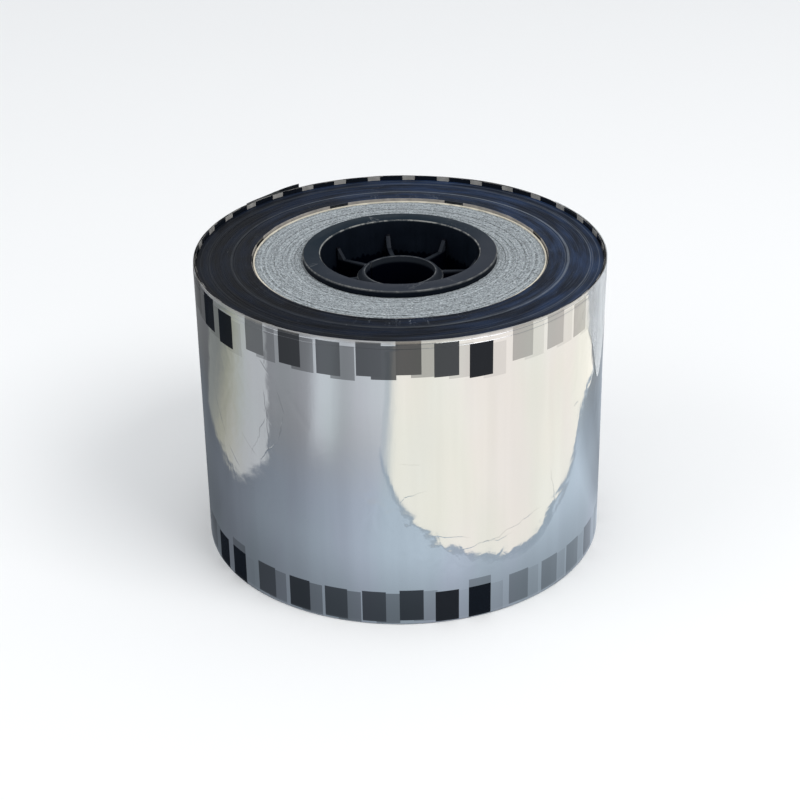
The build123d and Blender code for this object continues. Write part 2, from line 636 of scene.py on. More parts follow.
def marked_film(name, colour, sizes, turns, turn_offset, cut_at, lifted):
    """Clear film over film: a soft mirror, with the marks of the outer turns, the deeper the paler, and
    painted shade along the fine creases of the whole wall.
    """
    graph = Finish(name)
    polar = graph.polar(cut_at)
    tone, ink = printed_marks(graph, polar, film_tint(graph, colour), sizes, turns, turn_offset, lifted)
    whole = not lifted
    milky = graph.noise(graph.tall(0.5), 240.0, detail=4.0)
    edge = milky * (1.6 * MM) + polar["Height"]
    rim = graph.rise(edge, FILM_HIGH - 1.2 * MM, FILM_HIGH + 0.4 * MM) * (0.55 if whole else 0.0)
    smear = graph.noise(graph.tall(0.4), 60.0, detail=4.0)
    height = graph.noise(graph.tall(0.12), 420.0, detail=2.0) * 0.25
    if whole:
        lines = fine_creases(graph, polar)
        height = lines * 0.40 + (height + crumple(graph, polar))
        # Painted shade: the film's colour is darkened along the fine creases.
        tone = graph.mix(graph.math("MULTIPLY", lines, 0.20, clamp=True), tone, (0.10, 0.11, 0.12))
    return graph.surface(
        Base_Color=graph.mix(rim, tone, (0.27, 0.255, 0.235)),
        Metallic=1.0 - graph.math("MAXIMUM", rim, ink),
        Roughness=smear * 0.08 + 0.04,
        Specular_IOR_Level=0.0,
        Coat_Weight=0.12,
        Coat_Roughness=0.05,
        Normal=graph.bump(height, 0.055 * MM),
    )


def fine_creases(graph, polar):
    """Single creases, each a slightly wavering line."""
    waver = graph.noise(graph.place, 130.0) - 0.5
    height = waver * (5.0 * MM) + polar["Height"]
    angle = waver * -2.4 + polar["Angle"]
    lines = 0.0
    for a0, h0, a1, h1, strength in FINE_CREASES:
        ridge = graph.group(
            crease_line(),
            Angle=angle,
            Height=height,
            Start=(a0 * DEGREE_OF_WALL, h0 * MM, 0.0),
            Run=((a1 - a0) * DEGREE_OF_WALL, (h1 - h0) * MM, 0.0),
            Width=0.42 * MM,
        )["Ridge"]
        lines = ridge * strength + lines
    return lines


def crumple(graph, polar):
    """Height of the foil-like crumples, in zones at the left, low in front, at the right and behind."""
    angle, height = polar["Angle"], polar["Height"] / MM
    from_foot = graph.math("POWER", angle + 68.0, 2.0) * -0.022 + height
    zones = (
        (graph.window(angle, -153.0, -127.0, 4.0), graph.window(height, 52.0, 112.0, 10.0), 0.30),
        (graph.window(angle, -98.0, -46.0, 5.0), graph.window(from_foot, 26.0, 40.0, 5.0), 0.40),
        (graph.window(angle, -34.0, 30.0, 6.0), graph.window(height, 70.0, 122.0, 8.0), 0.30),
        (graph.window(angle, 60.0, 150.0, 20.0), graph.window(height, 30.0, 100.0, 16.0), 0.35),
    )
    total = 0.05
    for sideways, upright, strength in zones:
        total = sideways * upright * strength + total
    wander = graph.noise(graph.place, 60.0, detail=2.0, output="Color")
    wander = graph.vmath("SUBTRACT", wander, (0.5, 0.5, 0.5))
    bent = graph.vmath("ADD", graph.place, graph.scaled(wander, 9.0 * MM))
    cells = {"Vector": graph.stretched(bent, (1.0, 1.0, 0.55)), "Scale": 120.0}
    folds = graph.made("TexVoronoi", cells, "Distance", feature="DISTANCE_TO_EDGE")
    soft = graph.noise(graph.place, 150.0)
    return total * (soft * 3.0 + graph.fall(folds, 0.0, 0.16) * 0.9)


def clear_edge(name, colour, left, pitch, width, tall, top, cloudiness):
    """The see-through rim of a few turns, dark where a mark is printed."""
    graph = Finish(name)
    mask = mark_mask(graph, graph.polar(), left, pitch, width, tall, top, 0.0)
    haze = graph.noise(graph.tall(0.3), 300.0, detail=4.0)
    pale = graph.mix(haze, dyed(colour, 0.75), dyed(colour, 1.25))
    return graph.surface(
        Base_Color=graph.mix(mask, pale, INK),
        Alpha=graph.blend(mask, haze * 0.5 + (cloudiness - 0.25), 1.0),
        Roughness=0.14,
        Specular_IOR_Level=0.5,
        Normal=graph.bump(haze, 0.02 * MM),
    )


def milky_film():
    """One slack turn of clear film, whitish where it stands off the roll."""
    graph = Finish("slack_milky_film")
    fold = graph.noise(graph.tall(0.30), 75.0, distortion=0.4)
    cloudy = graph.rise(fold, 0.30, 0.70) * 0.22 + 0.26
    return graph.surface(
        Base_Color=graph.mix(fold, (0.78, 0.83, 0.87), (0.92, 0.95, 0.97)),
        Alpha=cloudy * graph.rise(graph.polar()["Angle"], -33.0, -22.0),
        Roughness=0.45,
        Normal=graph.bump(fold, 0.03 * MM),
    )


# Rings that stand out on the wound end faces: radius in mm, width in mm, strength.
PALE_RINGS = (
    (71.8, 0.75, 0.60),
    (70.6, 0.30, 0.25),
    (81.2, 0.35, 0.40),
    (82.1, 0.25, 0.30),
    (84.9, 0.30, 0.25),
)


def wound_edges(colour):
    """The cut edges of hundreds of turns: deep navy, finely ringed, with a few scuffs, and painted light
    that makes them lighter to the right and darker to the left.
    """
    graph = Finish("wound_film_edges")
    polar = graph.polar()
    radius, around = polar["Radius"], polar["Around"]
    ring = graph.noise(radius, 2100.0, detail=6.0, roughness=0.75, dimensions="1D")
    fibre = graph.noise(graph.stretched(around, (9.0, 9.0, 3600.0)), 1.0, detail=5.0, roughness=0.62)
    cloud = graph.noise(graph.stretched(around, (3.0, 3.0, 260.0)), 1.0)
    lit = graph.rise(ring, 0.45, 0.8) * graph.rise(fibre, 0.40, 0.72)
    tone = graph.mix(graph.rise(cloud, 0.35, 0.7), dyed(colour, 0.5), dyed(colour, 2.2))
    tone = graph.mix(graph.math("MULTIPLY", lit, 0.8, clamp=True), tone, (0.050, 0.066, 0.100))
    for at, wide, strength in PALE_RINGS:
        band = graph.fall(abs(radius - at * MM), 0.25 * wide * MM, wide * MM)
        tone = graph.mix(band * (graph.rise(fibre, 0.2, 0.6) * strength), tone, (0.095, 0.108, 0.125))
    x, y, _ = graph.split(graph.place)
    # Painted light: the face's colour is scaled lighter to the right and darker to the left.
    painted_light_to_right = graph.rise(y * 0.5 + x, -0.085, 0.085)
    tone = graph.scaled(tone, graph.blend(painted_light_to_right, 0.35, 2.0))
    scratch = graph.group(scuff_marks(), Place=graph.place, Scale=120.0, Amount=0.40)["Mask"]
    facing = abs(abs(polar["Angle"]) - 88.0)
    inner = graph.fall(radius, FIRST_R + 2.0 * MM, FIRST_R + 9.0 * MM)
    inner = inner * (graph.rise(facing, 24.0, 12.0) * 0.85 + 0.15)
    radial = graph.stretched(around, (1.0, 1.0, 3.2))
    rubbed = graph.group(scuff_marks(), Place=radial, Scale=46.0, Amount=0.50)["Mask"]
    tone = graph.mix(graph.math("MAXIMUM", scratch * 0.10, rubbed * inner), tone, (0.22, 0.25, 0.29))
    speck = graph.rise(graph.noise(graph.place, 900.0, detail=1.0), 0.83, 0.86)
    return graph.surface(
        Base_Color=graph.mix(speck, tone, (0.6, 0.63, 0.66)),
        Roughness=ring * 0.25 + 0.38,
        Specular_IOR_Level=0.08,
        Normal=graph.bump(ring * 0.7 + fibre * 0.3, 0.10 * MM),
    )


def sawn_board(name, colour, fleck):
    """Grey board cut across its plies: short fibres along the ply, pale flecks, pits and smudges."""
    graph = Finish(name)
    polar = graph.polar()
    around = polar["Around"]
    fibre = graph.noise(graph.stretched(around, (26.0, 26.0, 1500.0)), 1.0, detail=7.0, roughness=0.78)
    thread = graph.noise(graph.stretched(around, (60.0, 60.0, 2600.0)), 1.0, roughness=0.6)
    smudge = graph.noise(graph.stretched(around, (7.0, 7.0, 420.0)), 1.0, detail=4.0, roughness=0.7)
    grain = graph.noise(graph.place, 1150.0, detail=5.0, roughness=0.8)
    pits = graph.noise(graph.place, 620.0, detail=4.0, roughness=0.7)
    ply = graph.noise(polar["Radius"], 900.0, dimensions="1D")
    shade = ply * 0.15 + (fibre * 0.38 + grain * 0.47)
    tone = graph.mix(graph.rise(shade, 0.38, 0.64), dyed(colour, 0.26), dyed(colour, 1.85))
    tone = graph.mix(graph.rise(thread, 0.58, 0.68) * fleck, tone, (0.70, 0.73, 0.75))
    tone = graph.mix(graph.rise(pits, 0.60, 0.68) * 0.65, tone, (0.06, 0.07, 0.08))
    tone = graph.mix(graph.rise(smudge, 0.52, 0.72) * 0.55, tone, dyed(colour, 0.42))
    bump = graph.bump(shade, 0.50 * MM)
    return graph.surface(Base_Color=tone, Roughness=0.92, Specular_IOR_Level=0.2, Normal=bump)


def cover_paper(colour):
    """Smooth cream paper round the core, with faint fibres."""
    graph = Finish("core_cover_paper")
    fibre = graph.noise(graph.tall(0.3), 500.0, detail=5.0, roughness=0.6)
    tone = graph.mix(fibre, dyed(colour, 0.78), dyed(colour, 1.25))
    return graph.surface(Base_Color=tone, Roughness=0.8, Normal=graph.bump(fibre, 0.08 * MM))


def liner_paper(colour):
    """The brown-grey kraft paper inside the core, with the spiral seam of its winding."""
    graph = Finish("core_liner_paper")
    polar = graph.polar()
    lead = polar["Angle"] / 360.0 + polar["Height"] * 11.0
    seam = graph.math("FRACT", lead) < 0.012
    fibre = graph.noise(graph.tall(0.25), 700.0, detail=5.0, roughness=0.65)
    tone = graph.mix(fibre, dyed(colour, 0.7), dyed(colour, 1.1))
    return graph.surface(
        Base_Color=graph.mix(seam, tone, dyed(colour, 0.35)),
        Roughness=0.85,
        Normal=graph.bump(fibre - seam, 0.1 * MM),
    )


def moulded_plastic(colour):
    """Black plastic with a fine moulded texture, dust and a few scratches, pale edge lines that are part
    rubbed wear and part painted highlight, painted light on the flange face, painted shade inside the
    mouth and a painted highlight on the tops inside it.
    """
    graph = Finish("black_moulded_plastic")
    polar = graph.polar()
    radius = polar["Radius"]
    grain = graph.noise(graph.place, 1800.0)
    dust = graph.noise(graph.place, 110.0, detail=5.0, roughness=0.6)
    middle = (PLUG_FACE + WEB_LOW) / 2
    reach = abs(polar["Height"] - middle) - (PLUG_FACE - middle)
    on_face = graph.rise(reach, -1.2 * MM, -0.4 * MM)
    tone = graph.mix(graph.rise(dust, 0.35, 0.75), colour, dyed(colour, 1.35))
    # Painted light: the flange face is lighter to the front and right, darker at the back and left.
    x, y, _ = graph.split(graph.place)
    painted_light_to_front = graph.rise(x * 0.5 + y * -1.0, -0.035, 0.030)
    face = graph.mix(painted_light_to_front, (0.004, 0.012, 0.021), (0.026, 0.031, 0.042))
    tone = graph.mix(on_face * 0.9, tone, face)
    # Painted shade: inside the mouth the plastic is near-black and bluish.
    tone = graph.mix(radius < MOUTH_R - 0.2 * MM, tone, (0.0001, 0.0006, 0.0030))
    # Painted highlight: the tops of the hub and ribs inside the mouth are made lighter.
    hub = graph.rise(reach, -12.6 * MM, -11.2 * MM) * (radius < MOUTH_R - 1.0 * MM)
    tone = graph.mix(hub * 0.9, tone, (0.020, 0.024, 0.031))
    scratch = graph.group(scuff_marks(), Place=graph.place, Scale=70.0, Amount=0.42)["Mask"]
    tone = graph.mix(scratch * (on_face * 0.4), tone, (0.16, 0.17, 0.18))
    broken = graph.rise(graph.noise(graph.place, 260.0, detail=4.0, roughness=0.7), 0.42, 0.58)
    # Pale lines along the mouth, flange, shaft and hub edges: part rubbed wear, part painted highlight.
    rubbed_and_painted_highlight_edges = (
        (MOUTH_R + 0.25 * MM, 0.10, 0.30, 0.15, 0.75, on_face, (0.34, 0.34, 0.32)),
        (FLANGE_R - 0.20 * MM, 0.10, 0.30, 0.15, 0.40, on_face, (0.34, 0.34, 0.32)),
        (SHAFT_R + 0.35 * MM, 0.12, 0.34, 0.25, 0.75, hub, (0.15, 0.155, 0.16)),
        (HUB_R - 0.25 * MM, 0.12, 0.34, 0.25, 0.75, hub, (0.15, 0.155, 0.16)),
    )
    for at, solid, wide, faintest, strongest, where, pale in rubbed_and_painted_highlight_edges:
        line = graph.fall(abs(radius - at), solid * MM, wide * MM)
        line = line * graph.blend(broken, faintest, strongest)
        tone = graph.mix(line * where, tone, pale)
    return graph.surface(
        Base_Color=tone,
        Roughness=dust * 0.22 + 0.34,
        Specular_IOR_Level=0.04,
        Normal=graph.bump(grain, 0.004 * MM),
    )


def start_tape():
    """Clear amber packing tape, with fine ripples."""
    graph = Finish("start_tape_film")
    ripple = graph.noise(graph.tall(0.2), 300.0)
    tone = graph.mix(ripple, (0.52, 0.40, 0.20), (0.70, 0.58, 0.34))
    return graph.surface(Base_Color=tone, Roughness=0.2, Normal=graph.bump(ripple, 0.03 * MM))


def plain_floor(colour):
    """Matte pale floor with the faintest unevenness."""
    graph = Finish("pale_floor")
    tone = graph.mix(graph.noise(graph.place, 3.0), dyed(colour, 0.985), colour)
    return graph.surface(Base_Color=tone, Roughness=0.75, Specular_IOR_Level=0.2)


def glowing_card(name, pattern, outline=None):
    """A lit reflector card that shines upwards only: pattern makes its colour from the graph."""
    graph = Finish(name)
    colour = pattern(graph)
    inward = graph.made("Attribute", {}, "Fac", attribute_name="inward")
    see_through = graph.fall(inward, 0.0, 1.0)
    if outline:
        near = graph.rise(graph.vmath("LENGTH", graph.place, output="Value"), 0.238, 0.222)
        see_through = graph.blend(near, see_through, graph.fall(inward, 0.0, 0.40))
        colour = graph.mix(near * graph.fall(inward, 0.62, 0.98), colour, outline)
    back = graph.made("NewGeometry", {}, "Backfacing")
    glow = graph.made("Emission", {"Color": colour, "Strength": 1.0})
    clear = graph.made("BsdfTransparent", {})
    hidden = graph.math("MAXIMUM", back, see_through)
    return graph.output(graph.made("MixShader", {0: hidden, 1: glow, 2: clear}).socket)


# What the film mirrors all round: plan angle in degrees and brightness.
ROOM_BRIGHTNESS = (
    (-180, 0.27), (-158, 0.42), (-140, 0.50), (-120, 0.72), (-100, 0.97), (-80, 1.12),
    (-50, 1.06), (-12, 1.12), (-1, 1.10), (10, 0.70), (25, 0.46), (45, 0.50),
    (90, 0.30), (130, 0.17), (155, 0.19), (180, 0.27),
)


def room_glow(graph):
    """The room as the film mirrors it: bright in front and to the right, dim at the back left as a painted
    shadow of the roll.
    """
    polar = graph.polar()
    radius = polar["Radius"]
    turn = polar["Angle"] * (1 / 360) + 0.5

    def lit(white):
        stops = [((at + 180) / 360, tuple(c * glow for c in white)) for at, glow in ROOM_BRIGHTNESS]
        return graph.ramp(turn, stops)

    cool, mild = lit((0.88, 0.99, 1.13)), lit((0.96, 0.99, 1.02))
    tone = graph.mix(graph.rise(radius, 0.170, 0.250), cool, mild)
    aside = abs(polar["Angle"] - -126.0)
    column = graph.rise(aside, 10.0, 2.0) * graph.rise(radius, 0.205, 0.250)
    tone = graph.mix(column, tone, (0.88, 0.93, 0.95))
    # Painted contact shadow: the glow is dimmer near the roll.
    near = graph.rise(radius, 0.085, 0.150) * 0.42 + 0.60
    far = graph.rise(radius, 0.200, 0.300) * 0.22 + 1.0
    return graph.scaled(tone, near * far)


def warm_glow(graph):
    """Sunlit warm white, cooler at its left edge."""
    warm = graph.mix(graph.noise(graph.place, 9.0, detail=2.0), (1.86, 1.70, 1.46), (1.84, 1.74, 1.60))
    x, _, _ = graph.split(graph.place)
    return graph.mix(graph.rise(x, -0.036, -0.008), (0.98, 1.04, 1.08), warm)


def side_glow(graph):
    """A paler stretch of floor to the left, brighter towards the front, with a sandy stretch between."""
    _, y, _ = graph.split(graph.place)
    shades = (
        (0.0, (0.35, 0.37, 0.35)),
        (0.35, (0.60, 0.60, 0.49)),
        (0.62, (0.76, 0.76, 0.66)),
        (1.0, (0.92, 0.95, 0.95)),
    )
    return graph.ramp(graph.rise(y, 0.09, -0.06), shades)


# ---------------------------------------------------------------- film relief


CREASE_WIDTH = 0.9


def creases():
    """Soft creases of the outer turn: from degrees and height, to degrees and height, depth in mm."""
    chosen = []
    draw = Random(7)
    for _ in range(60):
        angle = draw.uniform(-180, 180)
        height = draw.uniform(20, 108)
        tilt = draw.gauss(0, 6)
        rise, depth = draw.uniform(6, 30), draw.uniform(0.015, 0.05)
        chosen.append((angle, height, angle + tilt, height + rise, depth))
    for _ in range(34):
        angle = draw.uniform(-98, -48)
        height = 34 + 0.022 * (angle + 68) ** 2 + draw.gauss(0, 4)
        tilt, rise, depth = draw.gauss(0, 5), draw.uniform(2, 9), draw.uniform(0.02, 0.06)
        chosen.append((angle, height, angle + tilt, height + rise, depth))
    return chosen


def crease_depth(angle, height, lines):
    """How deep the creases cut at a point of the wall, in mm."""
    depth = 0.0
    across = FILM_R / MM * pi / 180
    for a0, h0, a1, h1, deep in lines:
        if not (min(h0, h1) - 4 < height < max(h0, h1) + 4):
            continue
        if not (min(a0, a1) - 3 < angle < max(a0, a1) + 3):
            continue
        run, climb = (a1 - a0) * across, h1 - h0
        u, v = (angle - a0) * across, height - h0
        t = min(max((u * run + v * climb) / (run * run + climb * climb), 0.0), 1.0)
        off = hypot(u - t * run, v - t * climb)
        taper = 0.35 + 0.65 * sin(pi * min(max(t, 0.04), 0.96))
        depth += deep * exp(-((off / CREASE_WIDTH) ** 2)) * taper
    return depth


def on_wall(angle, size, along=0.0):
    """A point for reading noise round the roll: the larger the size, the finer the noise."""
    return Vector((cos(radians(angle)) * size, sin(radians(angle)) * size, along))


def film_relief(angle, height, lines):
    """How far the outer turn lies under its full radius, in mm: streaks, dents, crumple and creases."""
    streak = noise.noise(on_wall(angle, 9.0, height * 0.010))
    fine_streak = noise.noise(on_wall(angle, 26.0, height * 0.022 + 40))
    dent = noise.noise(on_wall(angle, 2.6, height * 0.030 + 9))
    crumple = noise.turbulence(on_wall(angle, 11.0, height * 0.11 + 3), 4, True)
    left = window(angle, -152, -127, 5) * window(height, 48, 118, 12)
    right = window(angle, -38, 8, 6) * window(height, 66, 124, 10)
    foot = window(angle, -98, -44, 6) * window(height - 0.022 * (angle + 68) ** 2, 26, 40, 6)
    back = window(angle, 20, 70, 12) * window(height, 30, 90, 16) * 0.7
    rough = 0.06 + 0.5 * left + 0.35 * right + 0.55 * foot + 0.45 * back
    relief = 0.10 + 0.045 * streak + 0.012 * fine_streak + 0.10 * dent + 0.16 * rough * crumple
    relief += 0.10 * window(angle, -44, 38, 4) * fade(height, 66, 78)
    calm = window(height, 6, 124, 6)
    return max(relief * (0.35 + 0.65 * calm) + crease_depth(angle, height, lines) * calm, 0.0)


def outset(corners, width):
    """The corners of an outline moved outwards by a width."""
    turning = sum(a[0] * b[1] - b[0] * a[1] for a, b in zip(corners, corners[1:] + corners[:1]))
    side = 1.0 if turning > 0 else -1.0
    moved = []
    for index, corner in enumerate(corners):
        here = Vector(corner)
        before = (here - Vector(corners[index - 1])).normalized()
        after = (Vector(corners[(index + 1) % len(corners)]) - here).normalized()
        first = Vector((before.y, -before.x)) * side
        second = Vector((after.y, -after.x)) * side
        moved.append(here + (first + second) * width / max(1.0 + first.dot(second), 0.3))
    return moved


def edge_wave(angle, seed, size):
    """A slow unevenness of a cut edge, in mm."""
    slow = noise.noise(on_wall(angle, 3.0, seed))
    quick = noise.noise(on_wall(angle, 14.0, seed + 5.5))
    return size * (slow + 0.35 * quick)


# ---------------------------------------------------------------- operators


class ROLL_OT_film_wall(bpy.types.Operator):
    """Build the outside of the film, with its stepped upper edge, dents and creases"""

    bl_idname = "film_roll.film_wall"
    bl_label = "Film wall"

    def execute(self, context):
        sizes, colours = context.scene.roll_sizes, context.scene.roll_colours
        outside = FILM_R - 0.02 * MM
        step = 0.11 * MM
        first_lip, second_lip = FILM_HIGH - 3.6 * MM, FILM_HIGH - 1.7 * MM
        # The outline, as distances in from the outside and heights, from the foot round to the bore.
        foot_lip = [(step, 0.25 * MM), (step, 1.5 * MM), (0.03 * MM, 1.6 * MM)]
        wall = [(0.0, z) for z in steps(1.7 * MM, first_lip - 0.1 * MM, 131)]
        lips = [
            (0.03 * MM, first_lip),
            (step, first_lip + 0.05 * MM),
            (step, (first_lip + second_lip) / 2),
            (step, second_lip - 0.1 * MM),
            (step + 0.03 * MM, second_lip),
            (2 * step, second_lip + 0.05 * MM),
            (2 * step, FILM_HIGH - 0.7 * MM),
            (2 * step, FILM_HIGH - 0.25 * MM),
            (2.3 * step, FILM_HIGH - 0.2 * MM),
            (3.2 * step, FILM_HIGH - 0.2 * MM),
            (3.5 * step, FILM_HIGH - 0.35 * MM),
        ]
        inside = [(3.5 * step, z) for z in steps(FILM_HIGH - 1.5 * MM, 1.4 * MM, 6)]
        outline = foot_lip + wall + lips + inside + [(0.25 * MM, 0.1 * MM)]
        bm = turned([(outside - depth, z) for depth, z in outline], sizes.wall_segments)
        lines = creases()

        def press(angle, radius, z):
            share = fade(radius, outside - 3.6 * step, outside - 3.0 * step)
            dip = film_relief(angle, z / MM, lines) * MM * share
            edge = fade(z, first_lip - 2 * MM, first_lip)
            wave = edge_wave(angle, 2.0, 0.45) * MM * edge if z < FILM_HIGH - 1.0 * MM else 0.0
            rim = edge_wave(angle, 11.0, 0.16) * MM if z > FILM_HIGH - 0.6 * MM else 0.0
            return radius - min(dip, sizes.relief_depth), min(z + wave + rim, FILM_HIGH)

        shape(bm, press)
        film = marked_film(
            "marked_clear_film",
            tuple(colours.film),
            sizes,
            turns=range(len(MARK_TOPS)),
            turn_offset=0.0,
            cut_at=sizes.film_end_at,
            lifted=0.0,
        )
        piece("film_outer_wall", bm, film, "roll", ["film_outer_turns"], sharp=50.0)
        return {"FINISHED"}


class ROLL_OT_film_rim(bpy.types.Operator):
    """Build the clear rims of the turns just under the outer wall"""

    bl_idname = "film_roll.film_rim"
    bl_label = "Film rim"

    def execute(self, context):
        sizes = context.scene.roll_sizes
        thick = 0.09 * MM
        # Each rim's distances out and down in mm, its marks to a pitch, their width and start, cloudiness.
        rims = (
            (0.18, 0.20, 7, 6.9, 3.4, 0.75),
            (0.52, 0.45, 5, 7.5, 9.0, 0.60),
            (0.86, 0.30, 6, 6.5, 1.0, 0.50),
        )
        for turn, (stand, drop, count, width, left, cloudiness) in enumerate(rims):
            radius = WEB_R + stand * MM
            top = FILM_HIGH - drop * MM
            low = WEB_HIGH - 3.0 * MM
            profile = [(radius, z) for z in steps(low, top, 5)]
            profile += [(radius + thick, z) for z in steps(top, low, 5)]
            bm = turned(profile, sizes.end_segments)

            def ripple(angle, r, z, turn=turn, low=low, top=top):
                share = fade(z, low, top)
                out = edge_wave(angle, 20.0 + turn, 0.10) * MM
                up = edge_wave(angle, 30.0 + turn, 0.16) * MM - 0.5 * MM * window(angle, -176, -4, 8)
                return r + out * share, z + up * share

            shape(bm, ripple)
            name, tint, pitch = f"clear_rim_{turn + 1}", (0.40, 0.39, 0.37), sizes.mark_pitch / count
            tall, mark_top = sizes.mark_height, top + 0.4 * MM
            material = clear_edge(name, tint, left, pitch, width, tall, mark_top, cloudiness)
            piece(f"film_rim_turn_{turn + 1}", bm, material, "roll")
        return {"FINISHED"}


class ROLL_OT_loose_wrap(bpy.types.Operator):
    """Build the slack, milky stretch of the outermost turn on the right"""

    bl_idname = "film_roll.loose_wrap"
    bl_label = "Slack wrap"

    def execute(self, context):
        outer = FILM_R - 0.005 * MM
        inner = outer - 0.05 * MM
        top = FILM_HIGH - 0.1 * MM
        levels = steps(0.0, 1.0, 26)
        profile = [(outer, level) for level in levels] + [(inner, level) for level in reversed(levels)]
        bm = turned(profile, 88, sweep=70.0, start=-33.0)

        def hang(angle, r, level):
            drop = 34 * exp(-(((angle + 19) / 7.5) ** 2))
            low = (120 - drop + 3.0 * noise.noise(Vector((angle * 0.22, 3.0, 1.0)))) * MM
            return r, low + (top - low) * level

        shape(bm, hang)
        piece("film_slack_wrap", bm, milky_film(), "roll")
        return {"FINISHED"}


class ROLL_OT_winding(bpy.types.Operator):
    """Build the main winding, with the fine rings of its end faces"""

    bl_idname = "film_roll.winding"
    bl_label = "Winding"

    def execute(self, context):
        sizes, colours = context.scene.roll_sizes, context.scene.roll_colours
        draw = Random(21)
        inner = FIRST_R + 0.06 * MM
        outer = WEB_R
        count = 62

        def face(z, inward):
            """Radius and height of points across one end face, from the outside in, two for each ring."""
            points = []
            edges = steps(outer - 0.05 * MM, inner + 0.05 * MM, count + 1)
            for a, b in zip(edges, edges[1:]):
                middle = (a + b) / 2
                proud = 0.10 * exp(-(((middle - 71.8 * MM) / (0.8 * MM)) ** 2))
                proud += 0.07 * exp(-(((middle - 81.6 * MM) / (0.6 * MM)) ** 2))
                drop = max(draw.uniform(0.03, 0.15) - proud, 0.0) * MM * inward
                points += [(a - 0.03 * MM, z + drop), (b + 0.03 * MM, z + drop)]
            return points

        top = face(WEB_HIGH, -1)
        bottom = face(WEB_LOW, 1)[::-1]
        side = [(outer, WEB_LOW + 0.3 * MM), (outer, WEB_HIGH - 0.3 * MM)]
        bore = [(inner, WEB_HIGH - 0.3 * MM), (inner, WEB_LOW + 0.3 * MM)]
        bm = turned(side + top + bore + bottom, sizes.end_segments)
        material = wound_edges(tuple(colours.wound_edges))
        piece("film_winding", bm, material, "roll", ["film_wound_web"], sharp=25.0)
        return {"FINISHED"}


class ROLL_OT_first_turns(bpy.types.Operator):
    """Build the first turns, which stand a little proud round the core"""

    bl_idname = "film_roll.first_turns"
    bl_label = "First turns"

    def execute(self, context):
        sizes = context.scene.roll_sizes
        thick = 0.16 * MM
        gap = CORE_R + 0.18 * MM
        profile = [(gap, z) for z in steps(FIRST_LOW, FIRST_HIGH, 12)]
        profile += [(gap + thick, z) for z in steps(FIRST_HIGH, FIRST_LOW, 12)]
        bm = turned(profile, sizes.end_segments)
        room = FIRST_R - gap - thick - 0.02 * MM

        def ripple(angle, radius, z):
            near_top = fade(z, FIRST_HIGH - 14 * MM, FIRST_HIGH)
            near_end = max(near_top, 1 - fade(z, FIRST_LOW, FIRST_LOW + 14 * MM))
            bulge = 0.5 + 0.5 * cos(radians(2 * (angle + 5)))
            wave = 0.5 + edge_wave(angle, 3.0, 0.5)
            out = room * min(max(0.55 * bulge + 0.45 * wave, 0.0), 1.0) * near_end
            drop = max(edge_wave(angle, 8.0, 0.35), -0.1) * MM * fade(z, FIRST_HIGH - 2 * MM, FIRST_HIGH)
            front = window(angle, -168, -14, 8) * fade(z, FIRST_HIGH - 2 * MM, FIRST_HIGH)
            drop = max(drop, 0.0) + front * max(FIRST_HIGH - WEB_HIGH + 0.3 * MM, 0.0)
            return radius + out, z - drop

        shape(bm, ripple)
        tint, width = (0.33, 0.305, 0.28), 8.2
        left, pitch, tall = sizes.inner_mark_at, sizes.inner_mark_pitch, sizes.mark_height
        material = clear_edge("first_turn_film", tint, left, pitch, width, tall, FIRST_HIGH, 0.9)
        piece("film_first_turns_strip", bm, material, "roll", ["film_first_turns"])
        return {"FINISHED"}


class ROLL_OT_film_end(bpy.types.Operator):
    """Build the free end of the film, with its raised corner"""

    bl_idname = "film_roll.film_end"
    bl_label = "Film end"

    def execute(self, context):
        sizes, colours = context.scene.roll_sizes, context.scene.roll_colours
        low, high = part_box("film_tail")
        radius = FILM_R + 0.25 * MM
        thick = 0.10 * MM
        profile = [(radius, z) for z in steps(low.z, FILM_HIGH, 60)]
        profile += [(radius + thick, z) for z in steps(FILM_HIGH, low.z, 60)]
        bm = turned(profile, 40, sweep=sizes.film_end_arc, start=sizes.film_end_at)

        def lift(angle, r, z):
            free = 1 - (angle - sizes.film_end_at) / sizes.film_end_arc
            up = (TAIL_HIGH - FILM_HIGH) * fade(free, 0.25, 1.0) * fade(z, high.z - 40 * MM, high.z)
            tuck = -0.22 * MM * (1 - fade(free, 0.0, 0.25))
            wave = 0.05 * MM * noise.noise(Vector((angle * 0.35, z * 60, 2.0)))
            return r + tuck + wave, z + up

        shape(bm, lift)
        film = marked_film(
            "film_end_film",
            tuple(colours.film),
            sizes,
            turns=range(2),
            turn_offset=sizes.film_end_at - sizes.first_mark_at,
            cut_at=180.0,
            lifted=5.2 * MM,
        )
        flap = piece("film_end_flap", bm, film, None, ["film_tail"])
        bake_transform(flap)
        return {"FINISHED"}


